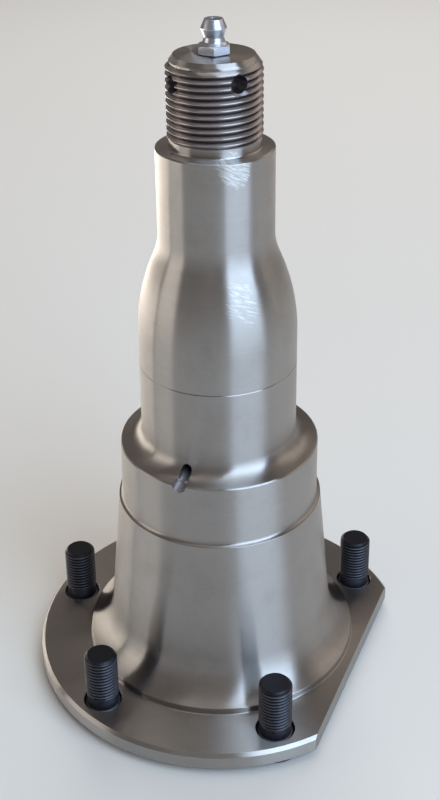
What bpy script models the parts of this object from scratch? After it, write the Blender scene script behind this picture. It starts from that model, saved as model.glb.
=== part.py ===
"""Trailer wheel spindle: a turned stub with a D-shaped brake flange, five pressed-in studs
and a grease nipple in its threaded nose.

Run it with: blender --background --python part.py

Units are metres and +Z is up. The origin is the centre of the flange's back face, the nose
points up and the flat on the flange faces +X. Directions round the axis are given in degrees
from +X, anticlockwise seen from the nose.
"""
import math

import bmesh
import bpy
from mathutils import Vector

MM = 0.001
INCH = 0.0254

# Clearance that is kept between pieces that seat on or in each other
SEAT_GAP = 0.3 * MM

# Brake flange
FLANGE_DIAMETER = 111.1 * MM
FLANGE_THICKNESS = 5.0 * MM
FLANGE_FRONT_CHAMFER = 0.9 * MM
FLANGE_BACK_CHAMFER = 0.5 * MM
FLAT_DISTANCE = 42.9 * MM

# Studs that hold the brake's backing plate
STUD_CIRCLE_DIAMETER = 3.75 * INCH
STUD_DIRECTIONS = (-49.1, -113.3, -176.7, 113.3, 47.5)
STUD_HOLE_DIAMETER = 10.8 * MM
STUD_SPOT_FACE_DEPTH = 0.5 * MM
STUD_THREAD_DIAMETER = 9.4 * MM
STUD_HEIGHT = 16.2 * MM
STUD_TIP_CHAMFER = 0.9 * MM
STUD_SHOULDER_RECESS = 0.8 * MM
STUD_HEAD_DIAMETER = 13.2 * MM
STUD_HEAD_THICKNESS = 2.2 * MM
STUD_HEAD_CHAMFER = 0.5 * MM

# Low collar at the foot of the cone, where the flare is cut off square
COLLAR_DIAMETER = 80.2 * MM
COLLAR_ROOT_FILLET = 0.4 * MM

# Cone between the flange and the seal land
CONE_LENGTH = 49.6 * MM
CONE_TOP_DIAMETER = 59.3 * MM
CONE_TAPER = 5.15
FLARE_RADIUS = 14.0 * MM
FLARE_LIFT = 0.2 * MM

# Seal land and the ledge that stops the inner bearing
SEAL_LAND_DIAMETER = 2.25 * INCH
SEAL_LAND_LENGTH = 18.4 * MM
LEDGE_CHAMFER = 0.35 * MM
LEDGE_FILLET = 4.5 * MM

# Inner bearing journal, with the fine line scribed round it
INNER_JOURNAL_DIAMETER = 1.75 * INCH
INNER_JOURNAL_LENGTH = 34.5 * MM
SCRIBE_HEIGHT = 25.3 * MM
SCRIBE_WIDTH = 0.4 * MM
SCRIBE_DEPTH = 0.15 * MM

# Bottle-shaped neck between the journals
NECK_ANGLE = 22.0
NECK_LOWER_RADIUS = 55.0 * MM
NECK_UPPER_RADIUS = 16.0 * MM

# Outer bearing journal
OUTER_JOURNAL_DIAMETER = 1.25 * INCH
OUTER_JOURNAL_LENGTH = 24.2 * MM
SHOULDER_CHAMFER_DEPTH = 0.6 * MM
SHOULDER_CHAMFER_LENGTH = 0.3 * MM

# Threaded nose, 1 inch with 14 threads to the inch
THREAD_DIAMETER = 1.0 * INCH
THREAD_PITCH = INCH / 14
THREAD_DEPTH_IN_PITCHES = 0.6134
THREAD_CREST_IN_PITCHES = 0.125
NOSE_LENGTH = 24.4 * MM
NOSE_CHAMFER_DEPTH = 2.06 * MM
NOSE_CHAMFER_LENGTH = 2.9 * MM
THREAD_START_TURN = 0.25
THREAD_RUN_OUT = 0.45 * MM
RELIEF_LENGTH = 2.6 * MM
RELIEF_UNDER_CREST = 0.45 * MM
RELIEF_FILLET = 0.5 * MM

# Two cotter pin holes that cross in the nose: the direction of each and its distance from the end
COTTER_HOLE_DIAMETER = 4.8 * MM
COTTER_HOLES = ((-35.0, 5.4 * MM), (49.2, 6.6 * MM))

# Grease way: down the axis, then slanting out through the ledge
GREASE_DRILL_DIAMETER = 4.8 * MM
GREASE_OUTLET_DIAMETER = 3.2 * MM
GREASE_OUTLET_DIRECTION = -90.0
GREASE_OUTLET_SLOPE = 15.0
GREASE_OUTLET_UNDER_LEDGE = 0.1 * MM

# Grease nipple, with a thread short enough to leave the cotter holes free
NIPPLE_THREAD_DIAMETER = 6.0 * MM
NIPPLE_THREAD_LENGTH = 3.2 * MM
NIPPLE_HEX_ACROSS_FLATS = 7.94 * MM
NIPPLE_HEX_HEIGHT = 2.2 * MM
NIPPLE_HEX_CORNER_DROP = 0.5 * MM
NIPPLE_HEX_DIRECTION = -67.0
NIPPLE_SKIRT_DIAMETER = 5.8 * MM
NIPPLE_SKIRT_HEIGHT = 0.65 * MM
NIPPLE_NECK_DIAMETER = 5.15 * MM
NIPPLE_NECK_HEIGHT = 1.15 * MM
NIPPLE_HEAD_DIAMETER = 6.7 * MM
NIPPLE_UNDERCUT_HEIGHT = 2.25 * MM
NIPPLE_BAND_HEIGHT = 0.15 * MM
NIPPLE_TIP_DIAMETER = 4.8 * MM
NIPPLE_TIP_HEIGHT = 2.25 * MM
NIPPLE_LIP = 0.4 * MM
NIPPLE_MOUTH_DIAMETER = 1.9 * MM
NIPPLE_THROAT_DIAMETER = 1.5 * MM
NIPPLE_THROAT_LENGTH = 1.5 * MM

# Check ball and its spring inside the nipple
BALL_DIAMETER = 2.4 * MM
SPRING_WIRE_DIAMETER = 0.32 * MM
SPRING_OUTSIDE_DIAMETER = 2.3 * MM
SPRING_TURNS = 7

# How finely round shapes are faceted
SPINDLE_COLUMNS = 48
STUD_COLUMNS = 16
NIPPLE_COLUMNS = 24
HOLE_COLUMNS = 16

# Sizes that follow from the ones above
STUD_SHOULDER_DIAMETER = STUD_HOLE_DIAMETER - 2 * SEAT_GAP
STUD_SPOT_FACE_DIAMETER = STUD_HEAD_DIAMETER + 2 * SEAT_GAP
STUD_HEAD_TOP = STUD_SPOT_FACE_DEPTH - SEAT_GAP
NIPPLE_HOLE_DIAMETER = NIPPLE_THREAD_DIAMETER + 2 * SEAT_GAP
NIPPLE_BORE_DIAMETER = BALL_DIAMETER + 2 * SEAT_GAP
THREAD_DEPTH = THREAD_DEPTH_IN_PITCHES * THREAD_PITCH
RELIEF_DIAMETER = THREAD_DIAMETER - 2 * RELIEF_UNDER_CREST


def remove_everything():
    for thing in list(bpy.data.objects):
        bpy.data.objects.remove(thing, do_unlink=True)


def material(name, colour, roughness, metallic):
    finish = bpy.data.materials.new(name)
    finish.use_nodes = True
    shader = finish.node_tree.nodes["Principled BSDF"]
    shader.inputs["Base Color"].default_value = (*colour, 1.0)
    shader.inputs["Roughness"].default_value = roughness
    shader.inputs["Metallic"].default_value = metallic
    return finish


def direction(degrees):
    """Unit vector that points away from the axis in the given direction."""
    return Vector((math.cos(math.radians(degrees)), math.sin(math.radians(degrees)), 0.0))


def ring(radius, height, columns):
    """One level row of a turned shape; the last point closes on the first."""
    return [(radius, height)] * (columns + 1)


def rings(profile, columns):
    return [ring(radius, height, columns) for radius, height in profile]


def inner_arc(corner_radius, corner_height, radius, start, end, steps):
    """Concave fillet points whose centre lies outside and above the corner.

    The angle is 90 degrees where the fillet runs level and 0 where it runs upright.
    """
    points = []
    for step in range(steps + 1):
        angle = math.radians(start + (end - start) * step / steps)
        points.append((corner_radius + radius * (1 - math.cos(angle)),
                       corner_height + radius * (1 - math.sin(angle))))
    return points


def skin(name, rows, columns, finish=None, tube=False):
    """Wrap rows of (radius, height) round the Z axis into one closed mesh object.

    Rows run up the outside. With tube they go on down a bore and close on the first row,
    otherwise a flat face closes each end. A cutter has no finish.
    """
    mesh = bpy.data.meshes.new(name)
    build = bmesh.new()
    grid = []
    for row in rows:
        line = []
        for column, (radius, height) in enumerate(row):
            angle = math.tau * column / columns
            line.append(build.verts.new((radius * math.cos(angle), radius * math.sin(angle), height)))
        grid.append(line)
    pairs = list(zip(grid, grid[1:]))
    if tube:
        pairs.append((grid[-1], grid[0]))
    else:
        build.faces.new(list(reversed(grid[0][:columns])))
        build.faces.new(grid[-1][:columns])
    for lower, upper in pairs:
        for column in range(columns):
            build.faces.new((lower[column], lower[column + 1], upper[column + 1], upper[column]))
    bmesh.ops.remove_doubles(build, verts=build.verts, dist=1e-6)
    bmesh.ops.dissolve_degenerate(build, edges=build.edges, dist=1e-6)
    build.to_mesh(mesh)
    build.free()
    if finish:
        mesh.materials.append(finish)
    thing = bpy.data.objects.new(name, mesh)
    bpy.context.scene.collection.objects.link(thing)
    round_off(thing)
    return thing


def round_off(thing):
    thing.data.shade_smooth()
    thing.data.set_sharp_from_angle(angle=math.radians(28))


def rod(name, start, end, radius, columns=HOLE_COLUMNS):
    """Plain cylinder from one point to another, for cutting."""
    start = Vector(start)
    end = Vector(end)
    length = (end - start).length
    mesh = bpy.data.meshes.new(name)
    build = bmesh.new()
    bmesh.ops.create_cone(build, cap_ends=True, segments=columns, radius1=radius,
                          radius2=radius, depth=length)
    build.to_mesh(mesh)
    build.free()
    thing = bpy.data.objects.new(name, mesh)
    bpy.context.scene.collection.objects.link(thing)
    thing.location = (start + end) / 2
    thing.rotation_mode = "QUATERNION"
    thing.rotation_quaternion = (end - start).to_track_quat("Z", "Y")
    return thing


def block(name, low, high):
    """Box between two corners, for cutting."""
    mesh = bpy.data.meshes.new(name)
    build = bmesh.new()
    bmesh.ops.create_cube(build, size=1.0)
    for corner in build.verts:
        for axis in range(3):
            corner.co[axis] = high[axis] if corner.co[axis] > 0 else low[axis]
    build.to_mesh(mesh)
    build.free()
    thing = bpy.data.objects.new(name, mesh)
    bpy.context.scene.collection.objects.link(thing)
    return thing


def cut(body, cutter):
    cutter.hide_render = True
    cutter.display_type = "WIRE"
    step = body.modifiers.new(cutter.name, "BOOLEAN")
    step.operation = "DIFFERENCE"
    step.solver = "EXACT"
    step.object = cutter


def spindle_heights():
    """Heights of the turned features above the flange's back face."""
    lower = INNER_JOURNAL_DIAMETER / 2
    upper = OUTER_JOURNAL_DIAMETER / 2
    angle = math.radians(NECK_ANGLE)
    radii = NECK_LOWER_RADIUS + NECK_UPPER_RADIUS
    straight = lower - upper - radii * (1 - math.cos(angle))
    if straight < 0:
        angle = math.acos(1 - (lower - upper) / radii)
        straight = 0.0
    heights = {"neck angle": angle}
    heights["step"] = FLANGE_THICKNESS + CONE_LENGTH
    heights["ledge"] = heights["step"] + SEAL_LAND_LENGTH
    heights["neck foot"] = heights["ledge"] + INNER_JOURNAL_LENGTH
    neck_length = radii * math.sin(angle) + straight / math.tan(angle)
    heights["neck head"] = heights["neck foot"] + neck_length
    heights["shoulder"] = heights["neck head"] + OUTER_JOURNAL_LENGTH
    heights["relief top"] = heights["shoulder"] + RELIEF_LENGTH
    heights["end"] = heights["shoulder"] + NOSE_LENGTH
    return heights


def flange_and_cone_profile(heights):
    rim = FLANGE_DIAMETER / 2
    collar = COLLAR_DIAMETER / 2
    points = [(rim - FLANGE_BACK_CHAMFER, 0.0),
              (rim, FLANGE_BACK_CHAMFER),
              (rim, FLANGE_THICKNESS - FLANGE_FRONT_CHAMFER),
              (rim - FLANGE_FRONT_CHAMFER, FLANGE_THICKNESS)]
    points += inner_arc(collar, FLANGE_THICKNESS, COLLAR_ROOT_FILLET, 90, 0, 2)
    # The flare is an arc that runs into the taper and is cut off square at the collar.
    taper = math.radians(CONE_TAPER)
    centre_height = FLANGE_THICKNESS + FLARE_LIFT + FLARE_RADIUS
    centre_radius = (CONE_TOP_DIAMETER / 2 + math.tan(taper) * (heights["step"] - centre_height)
                     + FLARE_RADIUS / math.cos(taper))
    reach = (centre_radius - collar) / FLARE_RADIUS
    lowest = math.acos(max(0.0, reach))
    steps = 8
    for step in range(steps + 1):
        angle = lowest + (taper - lowest) * step / steps
        points.append((centre_radius - FLARE_RADIUS * math.cos(angle),
                       centre_height - FLARE_RADIUS * math.sin(angle)))
    points.append((CONE_TOP_DIAMETER / 2, heights["step"]))
    return points


def land_and_journal_profile(heights):
    land = SEAL_LAND_DIAMETER / 2
    journal = INNER_JOURNAL_DIAMETER / 2
    ledge = heights["ledge"]
    fillet = min(LEDGE_FILLET, land - LEDGE_CHAMFER - journal)
    step_fillet = CONE_TOP_DIAMETER / 2 - land
    points = inner_arc(land, heights["step"], step_fillet, 90, 0, 2)[1:]
    points += [(land, ledge - LEDGE_CHAMFER), (land - LEDGE_CHAMFER, ledge)]
    points += inner_arc(journal, ledge, fillet, 90, 0, 6)
    scribe = ledge + SCRIBE_HEIGHT
    points += [(journal, scribe - SCRIBE_WIDTH / 2),
               (journal - SCRIBE_DEPTH, scribe),
               (journal, scribe + SCRIBE_WIDTH / 2)]
    return points


def neck_and_shoulder_profile(heights):
    lower = INNER_JOURNAL_DIAMETER / 2
    upper = OUTER_JOURNAL_DIAMETER / 2
    shoulder = heights["shoulder"]
    steps = 5
    points = []
    for step in range(steps + 1):
        angle = heights["neck angle"] * step / steps
        points.append((lower - NECK_LOWER_RADIUS * (1 - math.cos(angle)),
                       heights["neck foot"] + NECK_LOWER_RADIUS * math.sin(angle)))
    for step in range(steps + 1):
        angle = heights["neck angle"] * (1 - step / steps)
        points.append((upper + NECK_UPPER_RADIUS * (1 - math.cos(angle)),
                       heights["neck head"] - NECK_UPPER_RADIUS * math.sin(angle)))
    points += [(upper, shoulder - SHOULDER_CHAMFER_LENGTH),
               (upper - SHOULDER_CHAMFER_DEPTH, shoulder)]
    points += inner_arc(RELIEF_DIAMETER / 2, shoulder, RELIEF_FILLET, 90, 0, 2)
    return points


def thread_rows(heights):
    """Rows that follow the right-handed thread, which runs out at its foot and stops at the chamfer."""
    crest = THREAD_DIAMETER / 2
    root = crest - THREAD_DEPTH
    neck = RELIEF_DIAMETER / 2
    low = heights["relief top"]
    high = heights["end"]
    chamfer = NOSE_CHAMFER_DEPTH / NOSE_CHAMFER_LENGTH
    half_crest = THREAD_CREST_IN_PITCHES / 2
    shape = ((0.0, root), (0.5 - half_crest, crest), (0.5 + half_crest, crest))
    turns = math.ceil((high - low) / THREAD_PITCH) + 3
    rows = []
    for turn in range(turns):
        for offset, radius in shape:
            row = []
            for column in range(SPINDLE_COLUMNS + 1):
                advance = turn + offset - 2 + THREAD_START_TURN + column / SPINDLE_COLUMNS
                height = min(max(low + THREAD_PITCH * advance, low), high)
                cut_in = min(1.0, (height - low) / THREAD_RUN_OUT)
                nose = crest - NOSE_CHAMFER_DEPTH + chamfer * (high - height)
                row.append((min(neck + (radius - neck) * cut_in, nose), height))
            rows.append(row)
    return rows


def make_spindle(heights, finish):
    profile = flange_and_cone_profile(heights)
    profile += land_and_journal_profile(heights)
    profile += neck_and_shoulder_profile(heights)
    rows = rings(profile, SPINDLE_COLUMNS) + thread_rows(heights)
    spindle = skin("spindle", rows, SPINDLE_COLUMNS, finish)
    cut_flat(spindle)
    cut_stud_holes(spindle)
    cut_cotter_holes(spindle, heights)
    cut_grease_way(spindle, heights)
    return spindle


def cut_flat(spindle):
    reach = FLANGE_DIAMETER
    cutter = block("flat_cutter", (FLAT_DISTANCE, -reach, -FLANGE_THICKNESS),
                   (FLAT_DISTANCE + reach, reach, 2 * FLANGE_THICKNESS))
    cut(spindle, cutter)


def cut_stud_holes(spindle):
    """Through holes, each spot-faced at the back so that the stud's head seats square."""
    hole = STUD_HOLE_DIAMETER / 2
    spot_face = STUD_SPOT_FACE_DIAMETER / 2
    profile = [(spot_face, -FLANGE_THICKNESS),
               (spot_face, STUD_SPOT_FACE_DEPTH),
               (hole, STUD_SPOT_FACE_DEPTH),
               (hole, 2 * FLANGE_THICKNESS)]
    for number, degrees in enumerate(STUD_DIRECTIONS, start=1):
        cutter = skin(f"stud_hole_cutter_{number}", rings(profile, HOLE_COLUMNS), HOLE_COLUMNS)
        cutter.location = direction(degrees) * STUD_CIRCLE_DIAMETER / 2
        cut(spindle, cutter)


def cut_cotter_holes(spindle, heights):
    for number, (degrees, from_end) in enumerate(COTTER_HOLES, start=1):
        centre = Vector((0, 0, heights["end"] - from_end))
        reach = direction(degrees) * THREAD_DIAMETER
        cutter = rod(f"cotter_hole_cutter_{number}", centre - reach, centre + reach,
                     COTTER_HOLE_DIAMETER / 2)
        cut(spindle, cutter)


def cut_grease_way(spindle, heights):
    land = SEAL_LAND_DIAMETER / 2
    slope = math.tan(math.radians(GREASE_OUTLET_SLOPE))
    mouth = heights["ledge"] - GREASE_OUTLET_UNDER_LEDGE
    meeting = Vector((0, 0, mouth + land * slope))
    way_out = direction(GREASE_OUTLET_DIRECTION) - Vector((0, 0, slope))
    top = Vector((0, 0, heights["end"] + NOSE_LENGTH))
    bottom = meeting - Vector((0, 0, GREASE_OUTLET_DIAMETER))
    cut(spindle, rod("grease_drill_cutter", bottom, top, GREASE_DRILL_DIAMETER / 2))
    cut(spindle, rod("grease_outlet_cutter", meeting, meeting + way_out * land * 1.2,
                     GREASE_OUTLET_DIAMETER / 2))
    depth = Vector((0, 0, heights["end"] - NIPPLE_THREAD_LENGTH - 2 * SEAT_GAP))
    cut(spindle, rod("nipple_hole_cutter", depth, top, NIPPLE_HOLE_DIAMETER / 2))


def make_studs(finish):
    """Press-in studs: a round head behind the flange, a shoulder in its hole and the threaded end."""
    head = STUD_HEAD_DIAMETER / 2
    shank = STUD_THREAD_DIAMETER / 2
    under = STUD_HEAD_TOP - STUD_HEAD_THICKNESS
    shoulder_top = FLANGE_THICKNESS - STUD_SHOULDER_RECESS
    tip = FLANGE_THICKNESS + STUD_HEIGHT
    profile = [(head - STUD_HEAD_CHAMFER, under),
               (head, under + STUD_HEAD_CHAMFER),
               (head, STUD_HEAD_TOP),
               (STUD_SHOULDER_DIAMETER / 2, STUD_HEAD_TOP),
               (STUD_SHOULDER_DIAMETER / 2, shoulder_top),
               (shank, shoulder_top),
               (shank, tip - STUD_TIP_CHAMFER),
               (shank - STUD_TIP_CHAMFER, tip)]
    shape = None
    for number, degrees in enumerate(STUD_DIRECTIONS, start=1):
        if shape is None:
            stud = skin("stud_1", rings(profile, STUD_COLUMNS), STUD_COLUMNS, finish)
            shape = stud.data
        else:
            stud = bpy.data.objects.new(f"stud_{number}", shape)
            bpy.context.scene.collection.objects.link(stud)
        stud.location = direction(degrees) * STUD_CIRCLE_DIAMETER / 2


def hexagon(across_flats, height, columns, limit=None):
    """Row of a six-sided outline with a corner at the first column, trimmed to a round limit."""
    row = []
    for column in range(columns + 1):
        angle = 360.0 * column / columns
        from_flat = math.radians((angle % 60.0) - 30.0)
        radius = across_flats / 2 / math.cos(from_flat)
        if limit is not None:
            radius = min(radius, limit)
        row.append((radius, height))
    return row


def nipple_heights(heights):
    """Heights inside and outside the grease nipple."""
    foot = heights["end"] + SEAT_GAP
    tall = {"foot": foot, "thread end": heights["end"] - NIPPLE_THREAD_LENGTH}
    tall["hex top"] = foot + NIPPLE_HEX_HEIGHT
    tall["skirt top"] = tall["hex top"] + NIPPLE_SKIRT_HEIGHT
    tall["neck top"] = tall["skirt top"] + NIPPLE_NECK_HEIGHT
    tall["head foot"] = tall["neck top"] + NIPPLE_UNDERCUT_HEIGHT
    tall["band top"] = tall["head foot"] + NIPPLE_BAND_HEIGHT
    tall["tip"] = tall["band top"] + NIPPLE_TIP_HEIGHT
    tall["mouth"] = tall["tip"] - NIPPLE_LIP
    # The seat is a cone of 45 degrees between the bore and the mouth.
    seat = (NIPPLE_BORE_DIAMETER - NIPPLE_MOUTH_DIAMETER) / 2
    tall["seat foot"] = tall["mouth"] - seat
    drop = math.sqrt(2) * (BALL_DIAMETER / 2 + SEAT_GAP) - NIPPLE_BORE_DIAMETER / 2
    tall["ball"] = tall["seat foot"] - drop
    tall["throat"] = tall["thread end"] + NIPPLE_THROAT_LENGTH
    return tall


def make_nipple(heights, finish):
    tall = nipple_heights(heights)
    columns = NIPPLE_COLUMNS
    thread = NIPPLE_THREAD_DIAMETER / 2
    flats = NIPPLE_HEX_ACROSS_FLATS
    bore = NIPPLE_BORE_DIAMETER / 2
    throat = NIPPLE_THROAT_DIAMETER / 2
    mouth = NIPPLE_MOUTH_DIAMETER / 2
    rows = rings([(throat, tall["thread end"]),
                  (thread, tall["thread end"]),
                  (thread, tall["foot"])], columns)
    rows.append(hexagon(flats, tall["foot"], columns))
    rows.append(hexagon(flats, tall["hex top"] - NIPPLE_HEX_CORNER_DROP, columns))
    rows.append(hexagon(flats, tall["hex top"], columns, limit=flats / 2))
    rows += rings([(NIPPLE_SKIRT_DIAMETER / 2, tall["skirt top"]),
                   (NIPPLE_NECK_DIAMETER / 2, tall["neck top"]),
                   (NIPPLE_HEAD_DIAMETER / 2, tall["head foot"]),
                   (NIPPLE_HEAD_DIAMETER / 2, tall["band top"]),
                   (NIPPLE_TIP_DIAMETER / 2, tall["tip"]),
                   (mouth, tall["tip"]),
                   (mouth, tall["mouth"]),
                   (bore, tall["seat foot"]),
                   (bore, tall["throat"]),
                   (throat, tall["throat"])], columns)
    nipple = skin("nipple_body", rows, columns, finish, tube=True)
    nipple.rotation_euler = (0, 0, math.radians(NIPPLE_HEX_DIRECTION))


def make_ball(heights, finish):
    mesh = bpy.data.meshes.new("nipple_ball")
    build = bmesh.new()
    bmesh.ops.create_uvsphere(build, u_segments=14, v_segments=8, radius=BALL_DIAMETER / 2)
    build.to_mesh(mesh)
    build.free()
    mesh.materials.append(finish)
    ball = bpy.data.objects.new("nipple_ball", mesh)
    bpy.context.scene.collection.objects.link(ball)
    ball.location = (0, 0, nipple_heights(heights)["ball"])
    ball.data.shade_smooth()


def make_spring(heights, finish):
    """Coil spring that holds the ball up against its seat."""
    tall = nipple_heights(heights)
    wire = SPRING_WIRE_DIAMETER / 2
    coil = SPRING_OUTSIDE_DIAMETER / 2 - wire
    low = tall["throat"] + SEAT_GAP + wire
    high = tall["ball"] - BALL_DIAMETER / 2 - SEAT_GAP - wire
    sides = 4
    around = 9
    mesh = bpy.data.meshes.new("nipple_spring")
    build = bmesh.new()
    sections = []
    count = SPRING_TURNS * around
    for step in range(count + 1):
        angle = math.tau * step / around
        outward = Vector((math.cos(angle), math.sin(angle), 0.0))
        centre = outward * coil + Vector((0, 0, low + (high - low) * step / count))
        section = []
        for side in range(sides):
            turn = math.tau * side / sides
            offset = outward * math.cos(turn) + Vector((0, 0, math.sin(turn)))
            section.append(build.verts.new(centre + offset * wire))
        sections.append(section)
    for first, second in zip(sections, sections[1:]):
        for side in range(sides):
            following = (side + 1) % sides
            build.faces.new((first[side], first[following], second[following], second[side]))
    build.faces.new(list(reversed(sections[0])))
    build.faces.new(sections[-1])
    bmesh.ops.recalc_face_normals(build, faces=build.faces)
    build.to_mesh(mesh)
    build.free()
    mesh.materials.append(finish)
    spring = bpy.data.objects.new("nipple_spring", mesh)
    bpy.context.scene.collection.objects.link(spring)
    round_off(spring)


def main():
    remove_everything()
    turned_steel = material("turned_steel", (0.56, 0.55, 0.53), 0.28, 1.0)
    black_oxide = material("black_oxide_steel", (0.022, 0.023, 0.026), 0.42, 1.0)
    zinc_plate = material("zinc_plated_steel", (0.62, 0.65, 0.72), 0.25, 1.0)
    hard_steel = material("hardened_steel", (0.45, 0.45, 0.46), 0.15, 1.0)
    heights = spindle_heights()
    make_spindle(heights, turned_steel)
    make_studs(black_oxide)
    make_nipple(heights, zinc_plate)
    make_ball(heights, hard_steel)
    make_spring(heights, hard_steel)


main()
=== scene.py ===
"""Looks of the trailer wheel spindle: bright turned steel, black oxide studs, a zinc-plated nipple.

Lengths are in metres in the frame of the solids. +Z runs up the spindle to its threaded nose, z = 0
is the back face of the flange, and directions round the axis are degrees from +X, anticlockwise.
"""
import math

import bmesh
import bpy
from mathutils import Matrix, Vector


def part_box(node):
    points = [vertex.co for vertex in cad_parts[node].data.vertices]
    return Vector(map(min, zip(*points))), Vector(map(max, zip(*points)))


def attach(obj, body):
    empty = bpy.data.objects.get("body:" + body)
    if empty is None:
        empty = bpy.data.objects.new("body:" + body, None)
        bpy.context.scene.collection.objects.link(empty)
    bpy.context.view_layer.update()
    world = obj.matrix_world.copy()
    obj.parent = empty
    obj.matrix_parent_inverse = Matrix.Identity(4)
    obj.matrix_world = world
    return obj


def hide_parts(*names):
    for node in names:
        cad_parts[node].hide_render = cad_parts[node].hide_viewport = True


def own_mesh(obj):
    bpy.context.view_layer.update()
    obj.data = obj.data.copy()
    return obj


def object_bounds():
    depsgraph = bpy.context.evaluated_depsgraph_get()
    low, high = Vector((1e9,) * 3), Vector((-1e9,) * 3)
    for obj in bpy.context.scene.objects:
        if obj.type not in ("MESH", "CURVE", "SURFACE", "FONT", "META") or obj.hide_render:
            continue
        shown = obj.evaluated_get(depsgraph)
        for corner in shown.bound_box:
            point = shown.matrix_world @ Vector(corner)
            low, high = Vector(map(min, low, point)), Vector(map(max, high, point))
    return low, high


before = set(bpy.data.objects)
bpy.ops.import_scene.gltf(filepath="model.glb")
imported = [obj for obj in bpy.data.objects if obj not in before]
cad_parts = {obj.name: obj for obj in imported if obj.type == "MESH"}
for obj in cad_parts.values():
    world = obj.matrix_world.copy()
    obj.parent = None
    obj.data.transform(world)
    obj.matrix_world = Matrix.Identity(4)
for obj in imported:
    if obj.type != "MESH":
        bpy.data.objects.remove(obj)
solid_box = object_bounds()

MM = 0.001
INCH = 0.0254

# Brake flange
FLANGE_RADIUS = 55.55 * MM
FLANGE_THICKNESS = 5.0 * MM
FLANGE_FRONT_CHAMFER = 0.9 * MM
FLANGE_BACK_CHAMFER = 0.5 * MM
FLAT_DISTANCE = 42.9 * MM

# Studs in the flange
STUD_HOLE_RADIUS = 5.4 * MM
STUD_HOLE_BREAK = 0.2 * MM
SPOT_FACE_RADIUS = 6.9 * MM
SPOT_FACE_DEPTH = 0.5 * MM
STUD_HEAD_RADIUS = 6.6 * MM
STUD_HEAD_THICKNESS = 2.2 * MM
STUD_HEAD_CHAMFER = 0.5 * MM
STUD_SHOULDER_RADIUS = 5.1 * MM
STUD_SHOULDER_TOP = 4.2 * MM
STUD_SERRATION_DEPTH = 0.16 * MM
STUD_THREAD_RADIUS = 4.7 * MM
STUD_THREAD_PITCH = INCH / 24
STUD_PLAIN_LENGTH = 3.6 * MM
STUD_TIP_CHAMFER = 0.9 * MM
STUD_TIP_SLOPE = 1.1
STUD_TURN = 90.0

# Collar, flare and cone
COLLAR_RADIUS = 40.1 * MM
COLLAR_ROOT_FILLET = 0.4 * MM
CONE_LENGTH = 49.6 * MM
CONE_TOP_RADIUS = 29.65 * MM
CONE_TAPER = 5.15
FLARE_RADIUS = 14.0 * MM
FLARE_LIFT = 0.2 * MM

# Seal land, ledge and inner journal
SEAL_LAND_RADIUS = 1.125 * INCH
SEAL_LAND_LENGTH = 18.4 * MM
LEDGE_CHAMFER = 0.35 * MM
LEDGE_FILLET = 4.5 * MM
INNER_JOURNAL_RADIUS = 0.875 * INCH
INNER_JOURNAL_LENGTH = 34.5 * MM
SCRIBE_HEIGHT = 25.3 * MM
SCRIBE_WIDTH = 0.36 * MM
SCRIBE_DEPTH = 0.15 * MM

# Neck and outer journal
NECK_ANGLE = 22.0
NECK_LOWER_RADIUS = 55.0 * MM
NECK_UPPER_RADIUS = 16.0 * MM
OUTER_JOURNAL_RADIUS = 0.625 * INCH
OUTER_JOURNAL_LENGTH = 24.2 * MM
SHOULDER_CHAMFER_DEPTH = 0.6 * MM
SHOULDER_CHAMFER_LENGTH = 0.3 * MM

# Threaded nose
THREAD_RADIUS = 0.5 * INCH
THREAD_PITCH = INCH / 14
NOSE_LENGTH = 24.4 * MM
NOSE_CHAMFER_DEPTH = 2.06 * MM
NOSE_CHAMFER_LENGTH = 2.9 * MM
THREAD_START_TURN = 0.25
THREAD_RUN_OUT = 0.45 * MM
RELIEF_LENGTH = 2.6 * MM
RELIEF_UNDER_CREST = 0.45 * MM
RELIEF_FILLET = 0.5 * MM

# Shape of the 60 degree outside threads, as shares of their pitch: depth, rounded edges and flats
THREAD_DEPTH_SHARE = 0.6134
THREAD_EDGE_SHARE = 0.07
NOSE_ROOT_SHARE = 0.1
NOSE_CREST_SHARE = 0.16
STUD_ROOT_SHARE = 0.12
STUD_CREST_SHARE = 0.14

# How far the two ends of a rounded edge lie under the crest, as shares of the edge's width
THREAD_EDGE_DROP = 0.35
THREAD_FLANK_DROP = 1.6

# Share of the stud thread's depth by which the plain shank lies under its crest
STUD_SHANK_SHARE = 0.35

# Grease way, and the cotter holes: direction, distance from the end and break of its mouths
COTTER_HOLE_RADIUS = 2.4 * MM
COTTER_HOLES = ((-35.0, 5.4 * MM, 0.95 * MM), (49.2, 6.6 * MM, 0.3 * MM))
GREASE_DRILL_RADIUS = 2.4 * MM
GREASE_OUTLET_RADIUS = 1.6 * MM
GREASE_OUTLET_DIRECTION = -90.0
GREASE_OUTLET_SLOPE = 15.0
GREASE_OUTLET_UNDER_LEDGE = 0.1 * MM
GREASE_MOUTH_BREAK = 0.4 * MM
GREASE_MOUTH_DEPTH = 3.2 * MM
NIPPLE_HOLE_RADIUS = 3.3 * MM

# Grease nipple
NIPPLE_SEAT_GAP = 0.3 * MM
NIPPLE_THREAD_RADIUS = 3.0 * MM
NIPPLE_THREAD_LENGTH = 3.2 * MM
NIPPLE_HEX_ACROSS_FLATS = 7.94 * MM
NIPPLE_HEX_HEIGHT = 2.2 * MM
NIPPLE_HEX_CORNER_DROP = 0.5 * MM
NIPPLE_HEX_DIRECTION = -67.0
NIPPLE_SKIRT_FLARE = 0.55 * MM
NIPPLE_SKIRT_RADIUS = 2.9 * MM
NIPPLE_SKIRT_HEIGHT = 0.65 * MM
NIPPLE_NECK_RADIUS = 2.575 * MM
NIPPLE_NECK_HEIGHT = 1.15 * MM
NIPPLE_HEAD_RADIUS = 3.35 * MM
NIPPLE_UNDERCUT_HEIGHT = 2.25 * MM
NIPPLE_BAND_HEIGHT = 0.15 * MM
NIPPLE_TIP_RADIUS = 2.4 * MM
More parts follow.
